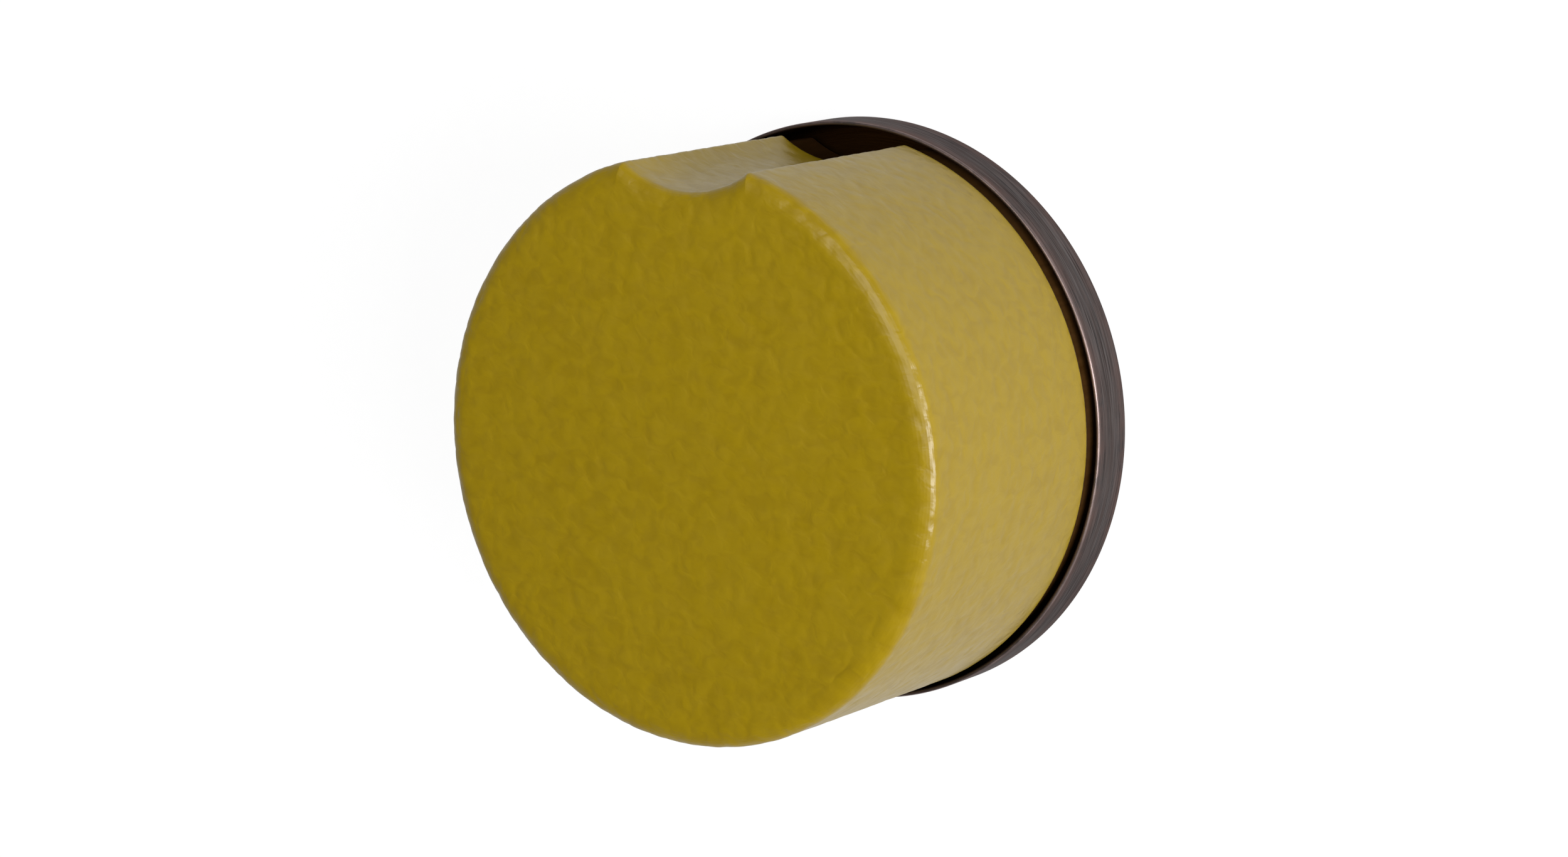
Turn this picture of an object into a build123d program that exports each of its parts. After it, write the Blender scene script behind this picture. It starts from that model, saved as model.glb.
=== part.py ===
"""Shoe polish tin, in millimetres.

A tall lid lifts off a pan of wax polish, and the pan stands in a shallow dish. A thumb scoop runs down
the side of the lid and of the pan, so the lid goes on one way round only. +Z is up, the origin is at the
centre of the underside, and the scoop faces -Y.
"""

from build123d import *
import os

# Lid: one drawn shell, open below
lid_radius = 40.0
lid_height = 38.7
lid_wall = 0.6
lid_top_round = 1.6
lid_foot_round = 0.35  # outside of the lower edge
lid_foot_ease = 0.15  # inside of the lower edge

# Thumb scoop, measured on the outside of the lid
scoop_radius = 17.5
scoop_depth = 4.6
horn_round = 0.8  # where the scoop runs out into the round side

# Dish: a shallow pressed tray that the tin stands on
dish_radius = 41.1
dish_height = 7.5
dish_wall = 0.6
dish_foot_round = 0.8  # outside of the lower edge
dish_fillet = 1.0  # inside, from the floor up to the wall
dish_lip_round = 0.25
shadow_gap = 1.2  # from the dish's lip up to the lid's lower edge

# Boss: the middle of the dish's floor, pressed up to hold the pan
boss_radius = 32.0
boss_height = 1.0
boss_round = 0.3
press = 0.02  # how much smaller the pan's recess is than the boss

# Pan: a thin drawn cup with a rolled rim and a grip band
pan_gap = 0.3  # between the lid and the pan's wall
pan_wall = 0.5
pan_corner = 1.0  # where the scoop runs out, and round the foot
rim_bead = 1.4  # width and height of the rolled rim
rim_bead_round = 0.65
rim_gap = 0.05  # between the rolled rim and the liner
band_foot = 14.0  # height of the band's lower edge
band_height = 3.0
band_rise = 0.15
band_slope = 0.13

# Liner: the pulp-board disc pushed up under the lid's top
liner_thick = 1.2
liner_gap = 0.05

# Polish
cake_headroom = 7.0  # from the cake's edge up to the top of the rolled rim
cake_dip = 0.5  # how far the middle of the cake has sunk
cake_gap = 0.05  # between the cake and the pan

# Places worked out from the sizes above
scoop_centre = lid_radius - scoop_depth + scoop_radius
lid_foot = dish_height + shadow_gap
lid_top = lid_foot + lid_height
hollow_top = lid_top - lid_wall
hollow_round = lid_top_round - lid_wall
liner_foot = hollow_top - liner_thick
rim_top = liner_foot - rim_gap
rim_foot = rim_top - rim_bead
pan_inset = lid_wall + pan_gap
pan_foot = dish_wall
recess_radius = boss_radius - press
recess_top = pan_foot + boss_height
cake_foot = pan_foot + pan_wall
cake_edge = rim_top - cake_headroom


def outline(inset, corner):
    """The lid's plan, a circle with the scoop bitten out of it, drawn in by inset."""
    bite = Pos(0, -scoop_centre) * Circle(scoop_radius + inset)
    plan = Circle(lid_radius - inset) - bite
    horns = plan.vertices().sort_by(Axis.Y)[:2]
    return fillet(horns, corner)


def column(inset, corner, foot, top):
    """That plan, as a solid from the height foot to the height top."""
    return Pos(0, 0, foot) * extrude(outline(inset, corner), top - foot)


def disc(radius, foot, top):
    return Pos(0, 0, foot) * extrude(Circle(radius), top - foot)


def top_edges(solid):
    return solid.faces().sort_by(Axis.Z)[-1].outer_wire().edges()


def foot_edges(solid):
    return solid.faces().sort_by(Axis.Z)[0].outer_wire().edges()


def level_edges(solid):
    """All the edges that lie in a level plane."""
    return solid.edges().filter_by(Axis.Z, reverse=True)


def make_lid():
    shell = column(0, horn_round, lid_foot, lid_top)
    shell = fillet(top_edges(shell), lid_top_round)
    shell = fillet(foot_edges(shell), lid_foot_round)
    hollow = column(lid_wall, horn_round - lid_wall, lid_foot, hollow_top)
    shell -= fillet(top_edges(hollow), hollow_round)
    mouth = shell.faces().sort_by(Axis.Z)[0].inner_wires()[0]
    return fillet(mouth.edges(), lid_foot_ease)


def make_liner():
    liner = column(lid_wall + liner_gap, pan_corner, liner_foot, hollow_top)
    return fillet(top_edges(liner), hollow_round)


def make_dish():
    """The dish's section, turned round the axis. Each corner has its own rounding."""
    inner_radius = dish_radius - dish_wall
    recess_edge = boss_radius - dish_wall
    boss_top = dish_wall + boss_height
    corners = [
        (dish_radius, 0, dish_foot_round),
        (dish_radius, dish_height, dish_lip_round),
        (inner_radius, dish_height, dish_lip_round),
        (inner_radius, dish_wall, dish_fillet),
        (boss_radius, dish_wall, 0),
        (boss_radius, boss_top, boss_round),
        (0, boss_top, 0),
        (0, boss_height, 0),
        (recess_edge, boss_height, boss_round),
        (recess_edge, 0, boss_round),
    ]
    points = [(across, up) for across, up, _ in corners]
    section = make_face(Plane.XZ * Polyline(points, close=True))
    for across, up, rounding in corners:
        if rounding:
            corner = section.vertices().sort_by_distance((across, 0, up))[0]
            section = fillet(corner, rounding)
    return revolve(section, Axis.Z)


def make_pan():
    cup = column(pan_inset, pan_corner, pan_foot, rim_top - rim_bead / 2)
    cup = fillet(foot_edges(cup), pan_corner)
    inside = column(pan_inset + pan_wall, pan_corner, cake_foot, rim_top)
    inside = fillet(foot_edges(inside), pan_corner - pan_wall)
    inside -= disc(recess_radius + pan_wall, pan_foot, recess_top + pan_wall)
    cup -= inside
    cup -= disc(recess_radius, pan_foot, recess_top)

    rim = column(pan_inset, pan_corner, rim_foot, rim_top)
    rim -= column(pan_inset + rim_bead, pan_corner, rim_foot, rim_top)
    rim = fillet(level_edges(rim), rim_bead_round)

    band_top = band_foot + band_height
    band = column(pan_inset - band_rise, pan_corner, band_foot, band_top)
    band = chamfer(level_edges(band), band_slope)
    band -= column(pan_inset + pan_wall / 2, pan_corner, band_foot, band_top)
    return cup + rim + band


def make_cake():
    inset = pan_inset + pan_wall + cake_gap
    cake = column(inset, pan_corner, cake_foot, cake_edge)
    cake = fillet(foot_edges(cake), pan_corner - pan_wall)
    cake -= disc(recess_radius + pan_wall + cake_gap, pan_foot, recess_top + pan_wall)
    reach = lid_radius - inset
    dip_radius = (reach**2 + cake_dip**2) / (2 * cake_dip)
    return cake - Pos(0, 0, cake_edge - cake_dip + dip_radius) * Sphere(dip_radius)


pieces = {
    "lid_shell": make_lid(),
    "lid_liner": make_liner(),
    "base_dish": make_dish(),
    "polish_pan": make_pan(),
    "polish_cake": make_cake(),
}

os.makedirs("parts", exist_ok=True)
for name, piece in pieces.items():
    export_step(piece, os.path.join("parts", name + ".step"))
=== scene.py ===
"""The shoe polish tin's looks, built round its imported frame. Metres throughout, +Z up, the scoop on -Y."""

import math

import bmesh
import bpy
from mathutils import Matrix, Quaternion, Vector, noise


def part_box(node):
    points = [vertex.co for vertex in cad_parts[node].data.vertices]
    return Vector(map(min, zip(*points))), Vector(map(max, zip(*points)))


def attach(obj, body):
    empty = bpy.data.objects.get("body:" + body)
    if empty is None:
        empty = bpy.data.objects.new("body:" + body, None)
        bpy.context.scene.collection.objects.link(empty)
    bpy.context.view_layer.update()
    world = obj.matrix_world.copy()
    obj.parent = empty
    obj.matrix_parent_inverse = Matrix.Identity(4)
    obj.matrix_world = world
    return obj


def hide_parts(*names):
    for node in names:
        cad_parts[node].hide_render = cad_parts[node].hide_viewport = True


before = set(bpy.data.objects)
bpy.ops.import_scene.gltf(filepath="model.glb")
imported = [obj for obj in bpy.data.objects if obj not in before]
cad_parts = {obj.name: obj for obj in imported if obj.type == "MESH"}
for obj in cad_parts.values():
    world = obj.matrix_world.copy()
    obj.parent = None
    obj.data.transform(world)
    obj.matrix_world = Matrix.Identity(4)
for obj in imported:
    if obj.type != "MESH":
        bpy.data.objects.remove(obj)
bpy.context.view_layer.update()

MM = 0.001
Z_AXIS = Vector((0, 0, 1))
SLIVER = 0.01 * MM  # points closer than this are one point
HOLD = 0.08 * MM  # from a corner to the ring that keeps the flat beside it shading flat

# Sizes that the frame gives
lid_low, lid_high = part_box("lid_shell")
liner_low, liner_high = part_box("lid_liner")
_, dish_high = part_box("base_dish")
pan_low, pan_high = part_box("polish_pan")
cake_low, cake_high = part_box("polish_cake")
LID_RADIUS = lid_high.x
LID_TOP = lid_high.z
LID_FOOT = lid_low.z
LINER_TOP = liner_high.z
LINER_FOOT = liner_low.z
DISH_RADIUS = dish_high.x
DISH_TOP = dish_high.z

# Thumb scoop, down the side of the lid and of all that is inside it
SCOOP_RADIUS = 17.5 * MM
SCOOP_DEPTH = 4.6 * MM
SCOOP_CENTRE = LID_RADIUS - SCOOP_DEPTH + SCOOP_RADIUS
HORN_ROUND = 0.8 * MM
SHARPEST = 0.1 * MM  # the least rounding that a ring keeps at a horn

# Lid
LID_WALL = 0.6 * MM
EDGE_ACROSS = 3.0 * MM  # the top's rounding, drawn out towards the middle by the thick lacquer
EDGE_DOWN = 1.6 * MM
LID_FOOT_ROUND = 0.35 * MM
LID_FOOT_EASE = 0.15 * MM
HOLLOW_TOP = LID_TOP - LID_WALL
HOLLOW_ROUND = 1.0 * MM

# Wrinkle in the lid's lacquer
SKIN_PITCH = 0.48 * MM  # between the rings of the lid's side
BROAD_WRINKLE = 3.6 * MM
FINE_WRINKLE = 1.7 * MM
WRINKLE_WANDER = 5.0 * MM
WRINKLE_SQUASH = 1.25  # the wrinkles of the side are this much longer than they are tall
WANDER_SHARE = 0.25
WANDER_SEED = 1
FINE_START = Vector((7, 3, 5))  # keeps the fine wrinkle out of step with the broad one
CREASE_NARROWING = 2.2
BROAD_DEPTH = 0.075 * MM
FINE_DEPTH = 0.035 * MM
WRINKLE_END = 1.0 * MM  # over this height it dies away above the lid's foot

# Liner
LINER_INSET = LID_WALL + 0.05 * MM
LINER_EASE = 0.25 * MM
PRINT_INSET = 1.6 * MM  # the ring that the pan's rim has pressed into the board
PRINT_WIDTH = 1.2 * MM
PRINT_DEPTH = 0.12 * MM
PRINT_STEPS = 8

# Dish
DISH_WALL = 0.6 * MM
DISH_FOOT_ROUND = 0.8 * MM
DISH_FILLET = 1.0 * MM
DISH_LIP_ROUND = 0.25 * MM
DISH_STEPS = 256
BOSS_RADIUS = 32.0 * MM
BOSS_HEIGHT = 1.0 * MM
BOSS_ROUND = 0.3 * MM

# Pan
PAN_INSET = LID_WALL + 0.3 * MM
PAN_WALL = 0.5 * MM
PAN_CORNER = 1.0 * MM  # at the horns, and round the foot
PAN_FOOT = pan_low.z
PAN_FLOOR = PAN_FOOT + PAN_WALL
RIM_TOP = pan_high.z
RIM_BEAD = 1.4 * MM
RIM_ROUND = 0.65 * MM
BAND_FOOT = 14.0 * MM
BAND_TOP = BAND_FOOT + 3.0 * MM
BAND_RISE = 0.15 * MM
BAND_SLOPE = 0.13 * MM
RECESS_RADIUS = BOSS_RADIUS - 0.02 * MM

# Cake of polish
CAKE_GAP = 0.05 * MM
CAKE_INSET = PAN_INSET + PAN_WALL + CAKE_GAP
CAKE_FOOT = cake_low.z
CAKE_EDGE = cake_high.z
CAKE_DIP = 0.5 * MM
CLIMB_WIDTH = 1.6 * MM  # where the wax climbed the pan's wall as it set
CLIMB_HEIGHT = 0.4 * MM
STROKE_MIDDLE = Vector((5.0, -3.0, 0.0)) * MM
STROKE_PITCH = 3.1 * MM
STROKE_WANDER = 7.0 * MM
STROKE_DEPTH = 0.14 * MM
STREAK_START = Vector((3, 8, 1))  # keeps the streaks out of step with the patches
STREAKS_PER_PATCH = 4
STROKE_BEND = 1.6  # how far the patches bend a stroke, in strokes
STROKE_WAVER = 0.35  # how far the streaks do
PRESS_CONTRAST = 1.8
WORN_RADIUS = 27.0 * MM
WORN_DEPTH = 0.9 * MM
WORN_UNEVEN = 0.35


# ---------------------------------------------------------------- rings in plan


class Fineness:
    """How many edges a ring has along its round side, each horn and the scoop. The total divides by 8."""

    def __init__(self, side, horn, scoop):
        self.side = side
        self.horn = horn
        self.scoop = scoop
        self.total = side + 2 * horn + scoop


FINE = Fineness(side=504, horn=4, scoop=48)
PLAIN = Fineness(side=214, horn=3, scoop=20)
CAP_EVENINGS = 40


def arc(bm, start, centre, sweep, steps):
    """Spins a vertex into a run of edges, and returns the vertex at the far end."""
    spun = bmesh.ops.spin(bm, geom=[start], cent=centre, axis=Z_AXIS, angle=sweep, steps=steps)
    return [item for item in spun["geom_last"] if isinstance(item, bmesh.types.BMVert)][0]


def outline(inset, height, fineness, corner=None):
    """The lid's plan drawn in by inset, as places in order round it from the right-hand horn."""
    if corner is None:
        corner = max(HORN_ROUND - inset, SHARPEST)
    side_radius = LID_RADIUS - inset
    bite_radius = SCOOP_RADIUS + inset
    horn_reach = side_radius - corner
    horn_y = ((bite_radius + corner) ** 2 - horn_reach**2 - SCOOP_CENTRE**2) / (2 * SCOOP_CENTRE)
    horn_x = math.sqrt(horn_reach**2 - horn_y**2)
    axis = Vector((0, 0, height))
    bite = Vector((0, -SCOOP_CENTRE, height))
    right_horn = Vector((horn_x, horn_y, height))
    left_horn = Vector((-horn_x, horn_y, height))
    from_axis = math.atan2(horn_y, horn_x)
    from_bite = math.atan2(horn_y + SCOOP_CENTRE, horn_x)
    horn_sweep = math.pi - from_bite + from_axis
    last_step = horn_sweep / fineness.horn

    plan = bmesh.new()
    start = plan.verts.new(axis + (right_horn - axis) * (side_radius / horn_reach))
    end = arc(plan, start, axis, math.pi - 2 * from_axis, fineness.side)
    end = arc(plan, end, left_horn, horn_sweep, fineness.horn)
    end = arc(plan, end, bite, 2 * from_bite - math.pi, fineness.scoop)
    arc(plan, end, right_horn, horn_sweep - last_step, fineness.horn - 1)
    places = [vert.co.copy() for vert in plan.verts]
    plan.free()
    return places


def new_ring(bm, places):
    """A closed ring of vertices through those places, in order."""
    verts = [bm.verts.new(place) for place in places]
    for pair in zip(verts, verts[1:] + verts[:1]):
        bm.edges.new(pair)
    return verts


def edges_round(bm, verts):
    return [bm.edges.get(pair) for pair in zip(verts, verts[1:] + verts[:1])]


def carry(bm, verts, places):
    """Extrudes a ring, moves the new ring onto those places, and returns it in the same order."""
    extruded = bmesh.ops.extrude_edge_only(bm, edges=edges_round(bm, verts))["geom"]
    fresh = {item for item in extruded if isinstance(item, bmesh.types.BMVert)}
    following = []
    for vert, place in zip(verts, places):
        twin = next(edge.other_vert(vert) for edge in vert.link_edges if edge.other_vert(vert) in fresh)
        twin.co = place
        following.append(twin)
    return following


def walls(bm, verts, profile, fineness, corner=None):
    """Carries a ring on through a profile of (inset, height) places, and returns the last ring."""
    for inset, height in held(profile):
        verts = carry(bm, verts, outline(inset, height, fineness, corner))
    return verts


def grid_cap(bm, verts, fineness):
    """Closes a ring with a grid of faces, evened out so that its corners aren't squeezed flat."""
    quarter = fineness.total // 4
    scoop_middle = fineness.side + fineness.horn + fineness.scoop // 2
    first = scoop_middle - quarter // 2
    edges = edges_round(bm, verts)
    turned = edges[first:] + edges[:first]
    filled = bmesh.ops.grid_fill(bm, edges=turned[:quarter] + turned[2 * quarter : 3 * quarter])
    rim = set(verts)
    inner = list({vert for face in filled["faces"] for vert in face.verts} - rim)
    for _ in range(CAP_EVENINGS):
        bmesh.ops.smooth_vert(bm, verts=inner, factor=0.5, use_axis_x=True, use_axis_y=True)


def plain_cap(bm, verts):
    bmesh.ops.contextual_create(bm, geom=edges_round(bm, verts))


def held(places, room=0.0):
    """A profile with a place added near each end of its long stretches, clear of any rounding's room."""
    filled = [places[0]]
    for start, end in zip(places, places[1:]):
        stretch = Vector(end) - Vector(start)
        margin = stretch.normalized() * (HOLD + room)
        if stretch.length > 4 * margin.length:
            filled.append(tuple(Vector(start) + margin))
            filled.append(tuple(Vector(end) - margin))
        filled.append(end)
    return filled


def from_level(inset, height, across, up, steps):
    """(inset, height) places round a quarter of an ellipse, from level at (inset, height) to upright."""
    turns = [math.pi / 2 * step / steps for step in range(1, steps + 1)]
    return [(inset + across * math.sin(turn), height + up * (1 - math.cos(turn))) for turn in turns]


def from_upright(inset, height, across, up, steps):
    """(inset, height) places round a quarter of an ellipse, from upright at (inset, height) to level."""
    turns = [math.pi / 2 * step / steps for step in range(1, steps + 1)]
    return [(inset + across * (1 - math.cos(turn)), height + up * math.sin(turn)) for turn in turns]


def over_boss(bm, verts, radius, level, raised):
    """Closes a ring with a floor at one level, raised in the middle where it goes over the dish's boss."""
    directions = [vert.co.xy.normalized() for vert in verts]
    for height in (level, raised):
        verts = carry(bm, verts, [(radius * way.x, radius * way.y, height) for way in directions])
    plain_cap(bm, verts)


def piece(bm, name, body, node, finishes):
    """Turns a bmesh into a finished piece that stands for a CAD node."""
    bmesh.ops.remove_doubles(bm, verts=bm.verts, dist=SLIVER)
    bmesh.ops.recalc_face_normals(bm, faces=bm.faces)
    for face in bm.faces:
        face.smooth = True
    mesh = bpy.data.meshes.new(name)
    bm.to_mesh(mesh)
    bm.free()
    for finish in finishes:
        mesh.materials.append(finish)
    made = bpy.data.objects.new(name, mesh)
    bpy.context.scene.collection.objects.link(made)
    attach(made, body)
    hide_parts(node)


# ---------------------------------------------------------------- materials


def rgb(red, green, blue):
    return (red, green, blue, 1.0)


class Finish:
    """A material being put together from nodes, on Object coordinates."""

    def __init__(self, name, **constants):
        self.material = bpy.data.materials.new(name)
        self.material.use_nodes = True
        self.tree = self.material.node_tree
        self.shader = self.tree.nodes["Principled BSDF"]
        self.place = self.add("ShaderNodeTexCoord").outputs["Object"]
        for socket, value in constants.items():
            self.shader.inputs[socket.replace("_", " ").title()].default_value = value

    def add(self, kind, inputs=(), **settings):
        made = self.tree.nodes.new(kind)
        for setting, value in settings.items():
            setattr(made, setting, value)
        self.feed(made, inputs)
        return made

    def feed(self, made, inputs):
        for socket, value in dict(inputs).items():
            if isinstance(value, bpy.types.NodeSocket):
                self.tree.links.new(value, made.inputs[socket])
            else:
                made.inputs[socket].default_value = value

    def maths(self, operation, first, second):
        return self.add("ShaderNodeMath", {0: first, 1: second}, operation=operation).outputs[0]

    def stretched(self, across, along, up, turn=0.0):
        """Object coordinates turned round the axis, then scaled by one number each way."""
        inputs = {"Vector": self.place, "Rotation": (0, 0, turn), "Scale": (across, along, up)}
        return self.add("ShaderNodeMapping", inputs).outputs[0]

    def height(self):
        return self.add("ShaderNodeSeparateXYZ", {"Vector": self.place}).outputs["Z"]

    def radius(self):
        flat = self.stretched(1.0, 1.0, 0.0)
        return self.add("ShaderNodeVectorMath", {0: flat}, operation="LENGTH").outputs["Value"]

    def grain(self, size, detail=2.0, roughness=0.5, distortion=0.0, place=None):
        """Noise whose lumps are about size across."""
        inputs = {
            "Vector": place or self.place,
            "Scale": 1 / size,
            "Detail": detail,
            "Roughness": roughness,
            "Distortion": distortion,
        }
        return self.add("ShaderNodeTexNoise", inputs).outputs["Fac"]

    def round_brushing(self, length, pitch, detail, roughness):
        """Fine streaks that run round the axis, on walls and floors alike."""
        parts = self.add("ShaderNodeSeparateXYZ", {"Vector": self.place}).outputs
        across = self.maths("MULTIPLY", self.maths("ADD", self.radius(), parts["Z"]), length / pitch)
        around = self.add("ShaderNodeCombineXYZ", {"X": parts["X"], "Y": parts["Y"], "Z": across})
        return self.grain(length, detail, roughness, place=around.outputs[0])

    def ramp(self, amount, *stops):
        """Turns a number into a colour through (place, colour) stops."""
        made = self.add("ShaderNodeValToRGB", {"Fac": amount})
        elements = made.color_ramp.elements
        while len(elements) < len(stops):
            elements.new(0.5)
        for element, (place, colour) in zip(elements, stops):
            element.position = place
            element.color = colour
        return made.outputs["Color"]

    def span(self, amount, low, high, to_low=0.0, to_high=1.0):
        """Maps one range of numbers onto another, held at both ends."""
        inputs = {"Value": amount, "From Min": low, "From Max": high, "To Min": to_low, "To Max": to_high}
        return self.add("ShaderNodeMapRange", inputs).outputs["Result"]

    def blend(self, amount, first, second):
        """One colour at 0, the other at 1."""
        made = self.tree.nodes.new("ShaderNodeMix")
        made.data_type = "RGBA"
        for socket, value in zip(("Factor_Float", "A_Color", "B_Color"), (amount, first, second)):
            place = [spot for spot in made.inputs if spot.identifier == socket][0]
            if isinstance(value, bpy.types.NodeSocket):
                self.tree.links.new(value, place)
            else:
                place.default_value = value
        return [spot for spot in made.outputs if spot.identifier == "Result_Color"][0]

    def bump(self, height, distance, normal=None):
        inputs = {"Height": height, "Distance": distance}
        if normal is not None:
            inputs["Normal"] = normal
        return self.add("ShaderNodeBump", inputs).outputs["Normal"]

    def finish(self, colour, roughness, normal):
        self.feed(self.shader, {"Base Color": colour, "Roughness": roughness, "Normal": normal})
        return self.material


def lid_lacquer():
    """Mustard lacquer with a leathery wrinkle, painted a little darker between the lumps as shade in its
    hollows.
    """
    made = Finish("lid_lacquer")
    drawn_out = made.stretched(0.85, 1.25, 1.1, turn=0.7)
    lumps = made.grain(2.2 * MM, 2.0, 0.45, 0.6, drawn_out)
    patches = made.grain(12 * MM, 3.0, 0.6)
    # deep is painted shade: the darker colour given to the hollows of the wrinkle, where the bump sinks.
    deep = rgb(0.290, 0.190, 0.002)
    full = rgb(0.321, 0.214, 0.002)
    faded = rgb(0.326, 0.221, 0.004)
    tint_with_hollow_shade = made.ramp(lumps, (0.35, deep), (0.6, full))
    faded_and_hollow_shaded = made.blend(made.span(patches, 0.4, 0.75, 0.0, 0.5), tint_with_hollow_shade, faded)
    roughness = made.span(made.grain(2.2 * MM, 2.0), 0.3, 0.7, 0.30, 0.38)
    coarse = made.bump(lumps, 0.12 * MM)
    fine = made.bump(made.grain(1.1 * MM, 1.0), 0.006 * MM, coarse)
    return made.finish(faded_and_hollow_shaded, roughness, fine)


def lid_inside():
    """The lid's bare inside, under a thin gold varnish."""
    made = Finish("lid_inside", metallic=1.0)
    drawn = made.grain(0.5 * MM, 3.0, place=made.stretched(1.0, 1.0, 0.05))
    colour = made.ramp(drawn, (0.3, rgb(0.50, 0.39, 0.20)), (0.7, rgb(0.62, 0.50, 0.28)))
    roughness = made.span(drawn, 0.3, 0.7, 0.28, 0.4)
    return made.finish(colour, roughness, made.bump(drawn, 0.01 * MM))


def dish_bronze():
    """Dark bronze brushed round the axis, rubbed reddish along its lip and foot, with a pale line on the
    lip's arris that is partly bare metal and partly a painted highlight, and painted dark brown shade
    inside.
    """
    made = Finish("dish_bronze", metallic=1.0, specular_tint=rgb(0.45, 0.42, 0.42))
    height = made.height()
    brushing = made.round_brushing(9 * MM, 0.2 * MM, 4.0, 0.65)
    broad_brushing = made.round_brushing(16 * MM, 1.1 * MM, 3.0, 0.6)
    blotches = made.grain(3.2 * MM, 4.0, 0.65)
    blackened = rgb(0.050, 0.046, 0.046)
    grey = rgb(0.205, 0.185, 0.181)
    reddish = rgb(0.138, 0.104, 0.095)
    dark = made.ramp(brushing, (0.36, blackened), (0.62, grey))
    warm = made.blend(made.span(broad_brushing, 0.42, 0.68, 0.0, 0.6), dark, reddish)

    lip = made.span(height, DISH_TOP - 2.4 * MM, DISH_TOP - 0.5 * MM)
    foot = made.span(height, 0.8 * MM, 3.2 * MM, 1.0, 0.0)
    edge = made.maths("MAXIMUM", lip, foot)
    uneven = made.maths("ADD", blotches, made.maths("MULTIPLY", brushing, 0.8))
    rub = made.maths("MULTIPLY", edge, made.span(uneven, 0.72, 1.05, 0.1, 1.0))
    rubbed = made.blend(rub, warm, rgb(0.190, 0.130, 0.117))
    # A pale line along the lip's outer arris: partly bare metal rubbed through, partly a painted highlight
    # where the rounded lip catches the light.
    arris_height = made.span(height, DISH_TOP - 0.45 * MM, DISH_TOP - 0.2 * MM)
    arris_radius = made.span(made.radius(), DISH_RADIUS - 0.42 * MM, DISH_RADIUS - 0.25 * MM)
    arris_wear_and_highlight = made.maths("MULTIPLY", arris_height, arris_radius)
    bare = made.maths("MULTIPLY", arris_wear_and_highlight, made.span(blotches, 0.35, 0.6, 0.3, 1.0))
    outside = made.blend(bare, rubbed, rgb(0.31, 0.235, 0.22))

    # Painted shade: the dish's inner wall and floor are coloured dark brown for the shade that falls inside
    # it.
    inner = made.span(made.radius(), DISH_RADIUS - 0.5 * MM, DISH_RADIUS - 0.4 * MM, 1.0, 0.0)
    low = made.span(height, DISH_TOP - 0.3 * MM, DISH_TOP - 0.1 * MM, 1.0, 0.0)
    above = made.span(height, 0.3 * MM, 0.4 * MM)
    painted_shade_inside = made.maths("MULTIPLY", made.maths("MULTIPLY", inner, low), above)
    brown = made.ramp(brushing, (0.3, rgb(0.030, 0.012, 0.002)), (0.7, rgb(0.070, 0.032, 0.008)))
    colour = made.blend(painted_shade_inside, outside, brown)
    roughness = made.span(brushing, 0.3, 0.7, 0.5, 0.36)
    return made.finish(colour, roughness, made.bump(brushing, 0.03 * MM))


def pan_lacquer():
    """Thin dark brown lacquer on the pan's outside, with upright draw marks showing through."""
    made = Finish("pan_lacquer", metallic=0.4)
    drawn = made.grain(0.5 * MM, 3.0, 0.6, place=made.stretched(1.0, 1.0, 0.05))
    clouds = made.grain(7 * MM, 3.0)
    brown = made.ramp(drawn, (0.3, rgb(0.085, 0.034, 0.006)), (0.7, rgb(0.130, 0.056, 0.012)))
    colour = made.blend(made.span(clouds, 0.4, 0.7, 0.0, 0.5), brown, rgb(0.095, 0.050, 0.020))
    roughness = made.span(drawn, 0.3, 0.7, 0.34, 0.46)
    return made.finish(colour, roughness, made.bump(drawn, 0.008 * MM))


def pan_tinplate():
    """Bright tinplate with faint upright draw marks, smeared with wax just above the cake."""
    made = Finish("pan_tinplate", metallic=1.0)
    drawn = made.grain(0.4 * MM, 3.0, 0.6, place=made.stretched(1.0, 1.0, 0.04))
    spangle = made.grain(6 * MM, 3.0)
    bright = made.blend(spangle, rgb(0.58, 0.58, 0.56), rgb(0.70, 0.69, 0.66))
    above_cake = made.span(made.height(), CAKE_EDGE + 0.2 * MM, CAKE_EDGE + 3.2 * MM, 0.55, 0.0)
    smears = made.grain(4 * MM, 5.0, 0.7, place=made.stretched(1.0, 1.0, 1.6))
    tide = made.span(made.maths("ADD", smears, above_cake), 0.72, 0.86)
    colour = made.blend(tide, bright, rgb(0.10, 0.055, 0.03))
    roughness = made.maths("ADD", made.span(drawn, 0.3, 0.7, 0.2, 0.32), made.maths("MULTIPLY", tide, 0.2))
    return made.finish(colour, roughness, made.bump(drawn, 0.008 * MM))


def polish_wax():
    """Dark brown wax, glossier in some places and duller in others at random, with a paler haze in patches.
    """
    made = Finish("polish_wax", coat_weight=0.3, coat_roughness=0.2)
    cloud = made.grain(7 * MM, 4.0, 0.6, 0.8)
    colour = made.ramp(cloud, (0.3, rgb(0.040, 0.016, 0.008)), (0.7, rgb(0.085, 0.036, 0.018)))
    bloom = made.span(made.grain(11 * MM, 5.0, 0.7), 0.55, 0.8, 0.0, 0.3)
    hazy = made.blend(bloom, colour, rgb(0.16, 0.10, 0.07))
    roughness = made.span(made.grain(1.5 * MM, 3.0), 0.3, 0.7, 0.3, 0.5)
    grit = made.bump(made.grain(0.8 * MM, 4.0), 0.03 * MM)
    return made.finish(hazy, roughness, grit)


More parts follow.
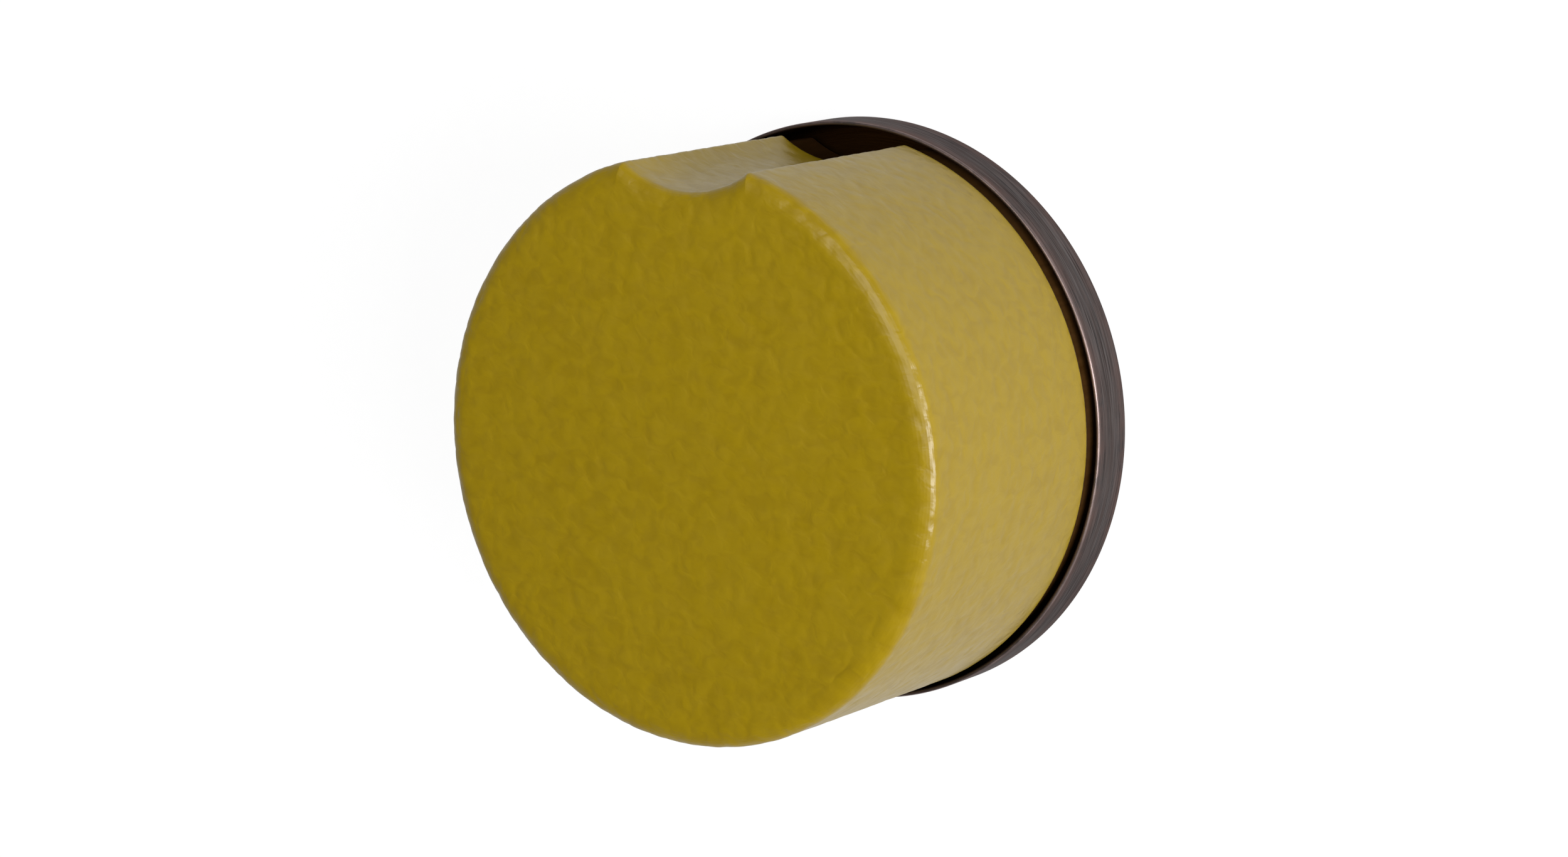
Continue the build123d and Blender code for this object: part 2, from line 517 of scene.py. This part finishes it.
def liner_board():
    """White-faced pulp board, with a brown tide mark of wax where the pan's rim presses."""
    made = Finish("liner_board")
    fibres = made.grain(0.35 * MM, 5.0, 0.7, 1.5)
    stains = made.grain(8 * MM, 4.0, 0.6)
    board = made.ramp(fibres, (0.3, rgb(0.60, 0.57, 0.50)), (0.7, rgb(0.74, 0.72, 0.65)))
    ring_place = made.span(made.radius(), LID_RADIUS - 3.4 * MM, LID_RADIUS - 1.9 * MM)
    mark = made.maths("MULTIPLY", ring_place, made.span(stains, 0.35, 0.65, 0.1, 0.75))
    blots = made.span(stains, 0.62, 0.8, 0.0, 0.35)
    colour = made.blend(made.maths("MAXIMUM", mark, blots), board, rgb(0.36, 0.24, 0.14))
    return made.finish(colour, made.span(fibres, 0.3, 0.7, 0.8, 0.92), made.bump(fibres, 0.04 * MM))


def studio_floor():
    """A pale floor that glows, which keeps shadows faint. It lights the tin less than it shows."""
    made = Finish("studio_floor", emission_color=rgb(1.0, 1.0, 1.0))
    seen = made.add("ShaderNodeLightPath").outputs["Is Camera Ray"]
    made.feed(made.shader, {"Emission Strength": made.span(seen, 0.0, 1.0, FLOOR_BOUNCE, FLOOR_GLOW)})
    speckle = made.grain(3 * MM, 2.0)
    colour = made.ramp(speckle, (0.3, rgb(0.095, 0.095, 0.095)), (0.7, rgb(0.105, 0.105, 0.105)))
    return made.finish(colour, 0.9, made.bump(speckle, 0.02 * MM))


# ---------------------------------------------------------------- lid and liner


def wrinkle(point):
    """How deep the lacquer's wrinkle is at a point."""
    place = Vector((point.x, point.y, point.z * WRINKLE_SQUASH))
    wander = noise.noise_vector(place / WRINKLE_WANDER) * WRINKLE_WANDER * WANDER_SHARE
    broad = abs(noise.noise((place + wander) / BROAD_WRINKLE))
    fine = abs(noise.noise((place + wander * 0.5) / FINE_WRINKLE + FINE_START))
    broad_crease = max(0.0, 1 - CREASE_NARROWING * broad) ** 2
    fine_crease = max(0.0, 1 - CREASE_NARROWING * fine) ** 2
    fade = min(1.0, (point.z - LID_FOOT) / WRINKLE_END)
    return (BROAD_DEPTH * broad_crease + FINE_DEPTH * fine_crease) * fade


def make_lid(lacquer, inside):
    bm = bmesh.new()
    crown = new_ring(bm, outline(EDGE_ACROSS, LID_TOP, FINE))
    grid_cap(bm, crown, FINE)
    shoulder = walls(bm, crown, from_level(EDGE_ACROSS, LID_TOP, -EDGE_ACROSS, -EDGE_DOWN, steps=9), FINE)
    foot_height = LID_FOOT + LID_FOOT_ROUND
    side_height = LID_TOP - EDGE_DOWN - foot_height
    bands = round(side_height / SKIN_PITCH)
    plan = outline(0, foot_height, FINE)
    foot = shoulder
    for band in reversed(range(bands)):
        foot = carry(bm, foot, [place + Z_AXIS * side_height * band / bands for place in plan])
    bmesh.ops.recalc_face_normals(bm, faces=bm.faces)
    bm.normal_update()
    noise.seed_set(WANDER_SEED)  # without a seed, noise_vector starts from the clock
    depths = [wrinkle(vert.co) for vert in bm.verts]
    for vert, depth in zip(bm.verts, depths):
        vert.co -= vert.normal * depth

    skin = len(bm.faces)
    lip = LID_WALL - LID_FOOT_EASE
    ceiling_start = HOLLOW_TOP - HOLLOW_ROUND
    profile = from_upright(0, foot_height, LID_FOOT_ROUND, -LID_FOOT_ROUND, steps=3)
    profile.append((lip, LID_FOOT))
    profile += from_level(lip, LID_FOOT, LID_FOOT_EASE, LID_FOOT_EASE, steps=2)
    profile.append((LID_WALL, ceiling_start))
    profile += from_upright(LID_WALL, ceiling_start, HOLLOW_ROUND, HOLLOW_ROUND, steps=4)
    ceiling = walls(bm, foot, profile, FINE)
    plain_cap(bm, ceiling)
    bm.faces.ensure_lookup_table()
    for face in bm.faces[skin:]:
        if face.calc_center_median().z > LID_FOOT + LID_FOOT_EASE:
            face.material_index = 1
    piece(bm, "lid", "lid", "lid_shell", [lacquer, inside])


def make_liner(board):
    """A disc of board, with the print of the pan's rim round its underside."""
    bm = bmesh.new()
    face_edge = LINER_INSET + LINER_EASE
    print_start = PRINT_INSET - PRINT_WIDTH / 2
    top_edge = LINER_INSET + HOLLOW_ROUND
    top = new_ring(bm, outline(top_edge, LINER_TOP, PLAIN, PAN_CORNER))
    plain_cap(bm, top)
    edge_foot = LINER_FOOT + LINER_EASE
    profile = from_level(top_edge, LINER_TOP, -HOLLOW_ROUND, edge_foot - LINER_TOP, steps=4)
    profile += from_upright(LINER_INSET, edge_foot, LINER_EASE, -LINER_EASE, steps=3)
    profile.append((print_start, LINER_FOOT))
    for step in range(1, PRINT_STEPS + 1):
        share = step / PRINT_STEPS
        pressed = PRINT_DEPTH * math.sin(math.pi * share)
        profile.append((print_start + PRINT_WIDTH * share, LINER_FOOT + pressed))
    profile.append((face_edge + 2 * PRINT_WIDTH, LINER_FOOT))
    middle = walls(bm, top, profile, PLAIN, PAN_CORNER)
    grid_cap(bm, middle, PLAIN)
    piece(bm, "liner", "lid", "lid_liner", [board])


# ---------------------------------------------------------------- dish, pan and polish


def lies_on(vert, radius, height):
    return abs(vert.co.z - height) < SLIVER and abs(vert.co.xy.length - radius) < SLIVER


def round_off(bm, radius, height, rounding):
    """Bevels the round edge at that radius and height."""
    edges = [edge for edge in bm.edges if all(lies_on(vert, radius, height) for vert in edge.verts)]
    bmesh.ops.bevel(
        bm,
        geom=edges,
        offset=rounding,
        offset_type="OFFSET",
        segments=5,
        profile=0.5,
        affect="EDGES",
        material=-1,
    )


def make_dish(bronze):
    """The dish's section, spun round the axis, then rounded at each corner."""
    inner = DISH_RADIUS - DISH_WALL
    recess = BOSS_RADIUS - DISH_WALL
    boss_top = BOSS_HEIGHT + DISH_WALL
    section = [
        (0, BOSS_HEIGHT, 0),
        (recess, BOSS_HEIGHT, BOSS_ROUND),
        (recess, 0, BOSS_ROUND),
        (DISH_RADIUS, 0, DISH_FOOT_ROUND),
        (DISH_RADIUS, DISH_TOP, DISH_LIP_ROUND),
        (inner, DISH_TOP, DISH_LIP_ROUND),
        (inner, DISH_WALL, DISH_FILLET),
        (BOSS_RADIUS, DISH_WALL, 0),
        (BOSS_RADIUS, boss_top, BOSS_ROUND),
        (0, boss_top, 0),
    ]
    bm = bmesh.new()
    corners = [(radius, height) for radius, height, _ in section]
    points = [bm.verts.new((radius, 0, height)) for radius, height in held(corners, DISH_FILLET)]
    lines = [bm.edges.new(pair) for pair in zip(points, points[1:])]
    bmesh.ops.spin(
        bm,
        geom=points + lines,
        cent=(0, 0, 0),
        axis=Z_AXIS,
        angle=math.tau,
        steps=DISH_STEPS,
        use_merge=True,
    )
    bmesh.ops.remove_doubles(bm, verts=bm.verts, dist=SLIVER)
    bmesh.ops.recalc_face_normals(bm, faces=bm.faces)
    for radius, height, rounding in section:
        if rounding:
            round_off(bm, radius, height, rounding)
    piece(bm, "dish", "base", "base_dish", [bronze])


def make_pan(lacquer, tinplate):
    """A drawn cup: round foot, grip band, rolled rim curled in and down, and a smooth inside."""
    bm = bmesh.new()
    rim_start = RIM_TOP - RIM_ROUND
    curl_inset = PAN_INSET + RIM_BEAD
    curl_foot = RIM_TOP - RIM_BEAD
    foot = new_ring(bm, outline(PAN_INSET + PAN_CORNER, PAN_FOOT, PLAIN, PAN_CORNER))
    over_boss(bm, foot, RECESS_RADIUS, PAN_FOOT, PAN_FOOT + BOSS_HEIGHT)
    profile = from_level(PAN_INSET + PAN_CORNER, PAN_FOOT, -PAN_CORNER, PAN_CORNER, steps=5)
    profile += [
        (PAN_INSET, BAND_FOOT),
        (PAN_INSET - BAND_RISE, BAND_FOOT + BAND_SLOPE),
        (PAN_INSET - BAND_RISE, BAND_TOP - BAND_SLOPE),
        (PAN_INSET, BAND_TOP),
        (PAN_INSET, rim_start),
    ]
    outside = walls(bm, foot, profile, PLAIN, PAN_CORNER)
    lacquered = len(bm.faces)
    profile = from_upright(PAN_INSET, rim_start, RIM_ROUND, RIM_ROUND, steps=5)
    profile.append((curl_inset - RIM_ROUND, RIM_TOP))
    profile += from_level(curl_inset - RIM_ROUND, RIM_TOP, RIM_ROUND, -RIM_ROUND, steps=5)
    profile += from_upright(curl_inset, curl_foot + RIM_ROUND, -RIM_ROUND, -RIM_ROUND, steps=5)
    inner_wall = PAN_INSET + PAN_WALL
    floor_round = PAN_CORNER - PAN_WALL
    profile.append((inner_wall, curl_foot - RIM_ROUND / 4))
    profile.append((inner_wall, PAN_FLOOR + floor_round))
    profile += from_upright(inner_wall, PAN_FLOOR + floor_round, floor_round, -floor_round, steps=3)
    inside = walls(bm, outside, profile, PLAIN, PAN_CORNER)
    over_boss(bm, inside, RECESS_RADIUS + PAN_WALL, PAN_FLOOR, PAN_FLOOR + BOSS_HEIGHT)
    bm.faces.ensure_lookup_table()
    for face in bm.faces[lacquered:]:
        face.material_index = 1
    piece(bm, "pan", "base", "polish_pan", [lacquer, tinplate])


def taken_up(point):
    """How much wax a brush has taken up at a point: a shallow hollow with round strokes across it."""
    reach = (point - STROKE_MIDDLE).xy.length
    patchy = noise.noise(point / STROKE_WANDER)
    streak = noise.noise(point / (STROKE_WANDER / STREAKS_PER_PATCH) + STREAK_START)
    hollow = max(0.0, 1 - (reach / WORN_RADIUS + WORN_UNEVEN * patchy) ** 2)
    turns = reach / STROKE_PITCH + STROKE_BEND * patchy + STROKE_WAVER * streak
    stroke = 0.5 + 0.5 * math.cos(math.tau * turns)
    pressed = max(0.0, min(1.0, 0.5 + PRESS_CONTRAST * patchy))
    return hollow**0.5 * (WORN_DEPTH * hollow + STROKE_DEPTH * stroke * pressed)


def make_cake(wax):
    bm = bmesh.new()
    reach = LID_RADIUS - CAKE_INSET
    climb_foot = CAKE_EDGE - CLIMB_HEIGHT
    top = new_ring(bm, outline(CAKE_INSET + CLIMB_WIDTH, climb_foot, FINE, PAN_CORNER))
    grid_cap(bm, top, FINE)
    for vert in bm.verts:
        dip = CAKE_DIP * (1 - (vert.co.xy.length / reach) ** 2)
        vert.co.z -= dip + taken_up(vert.co)
    profile = from_level(CAKE_INSET + CLIMB_WIDTH, climb_foot, -CLIMB_WIDTH, CLIMB_HEIGHT, steps=6)
    foot_round = PAN_CORNER - PAN_WALL
    profile.append((CAKE_INSET, CAKE_FOOT + foot_round))
    profile += from_upright(CAKE_INSET, CAKE_FOOT + foot_round, foot_round, -foot_round, steps=3)
    foot = walls(bm, top, profile, FINE, PAN_CORNER)
    boss_reach = RECESS_RADIUS + PAN_WALL + CAKE_GAP
    over_boss(bm, foot, boss_reach, CAKE_FOOT, PAN_FLOOR + BOSS_HEIGHT + CAKE_GAP)
    piece(bm, "polish", "base", "polish_cake", [wax])


# ---------------------------------------------------------------- floor, camera and light

FLOOR_GLOW = 0.935  # as the camera sees it
FLOOR_BOUNCE = 0.66  # as it lights the tin
FLOOR_HALF = 3.0
LENS = 95.86  # millimetres, on a sensor 36 mm wide
SENSOR = 36.0
CAMERA_AZIMUTH = math.radians(-71.90)
CAMERA_ELEVATION = math.radians(53.81)
CAMERA_ROLL = math.radians(-104.8)
CAMERA_DISTANCE = 13.92 * LID_RADIUS
AIM = Vector((-0.2735, -0.0899, -0.2106)) * LID_RADIUS  # from the middle of the lid's top
HORIZON = 0.58
ZENITH = 0.05
ZENITH_START = 0.5  # the sine of the elevation from which the sky is even


def make_floor():
    bm = bmesh.new()
    bmesh.ops.create_grid(bm, x_segments=8, y_segments=8, size=FLOOR_HALF)
    mesh = bpy.data.meshes.new("floor")
    bm.to_mesh(mesh)
    bm.free()
    mesh.materials.append(studio_floor())
    floor = bpy.data.objects.new("floor", mesh)
    bpy.context.scene.collection.objects.link(floor)


def back_from(azimuth, elevation):
    """The direction from the tin towards something at that azimuth and elevation."""
    level = math.cos(elevation)
    return Vector((math.sin(azimuth) * level, -math.cos(azimuth) * level, math.sin(elevation)))


def make_camera():
    data = bpy.data.cameras.new("camera")
    data.lens = LENS
    data.sensor_width = SENSOR
    data.clip_start = 0.01
    data.clip_end = 50.0
    camera = bpy.data.objects.new("camera", data)
    back = back_from(CAMERA_AZIMUTH, CAMERA_ELEVATION)
    camera.location = Vector((0, 0, LID_TOP)) + AIM + back * CAMERA_DISTANCE
    camera.rotation_mode = "QUATERNION"
    camera.rotation_quaternion = (-back).to_track_quat("-Z", "Y") @ Quaternion((0, 0, 1), CAMERA_ROLL)
    bpy.context.scene.collection.objects.link(camera)
    bpy.context.scene.camera = camera


def make_light(name, azimuth, elevation, distance, size, power):
    """A square soft box, aimed at the tin from that many degrees round and up."""
    data = bpy.data.lights.new(name, "AREA")
    data.size = size
    data.energy = power
    light = bpy.data.objects.new(name, data)
    back = back_from(math.radians(azimuth), math.radians(elevation))
    light.location = Vector((0, 0, LID_TOP / 2)) + back * distance
    light.rotation_mode = "QUATERNION"
    light.rotation_quaternion = (-back).to_track_quat("-Z", "Y")
    bpy.context.scene.collection.objects.link(light)


def make_studio():
    make_light("side_box", azimuth=-93, elevation=36, distance=0.9, size=0.4, power=8.0)
    make_light("top_box", azimuth=-30, elevation=70, distance=1.0, size=0.6, power=3.3)
    world = bpy.data.worlds.new("studio")
    world.use_nodes = True
    tree = world.node_tree
    place = tree.nodes.new("ShaderNodeTexCoord")
    parts = tree.nodes.new("ShaderNodeSeparateXYZ")
    sky = tree.nodes.new("ShaderNodeValToRGB")
    tree.links.new(place.outputs["Generated"], parts.inputs["Vector"])
    tree.links.new(parts.outputs["Z"], sky.inputs["Fac"])
    tree.links.new(sky.outputs["Color"], tree.nodes["Background"].inputs["Color"])
    low, high = sky.color_ramp.elements
    low.color = rgb(HORIZON, HORIZON, HORIZON)
    high.position = ZENITH_START
    high.color = rgb(ZENITH, ZENITH, ZENITH)
    bpy.context.scene.world = world
    bpy.context.scene.view_settings.view_transform = "Standard"


make_camera()
make_lid(lid_lacquer(), lid_inside())
make_liner(liner_board())
make_dish(dish_bronze())
make_pan(pan_lacquer(), pan_tinplate())
make_cake(polish_wax())
make_floor()
make_studio()
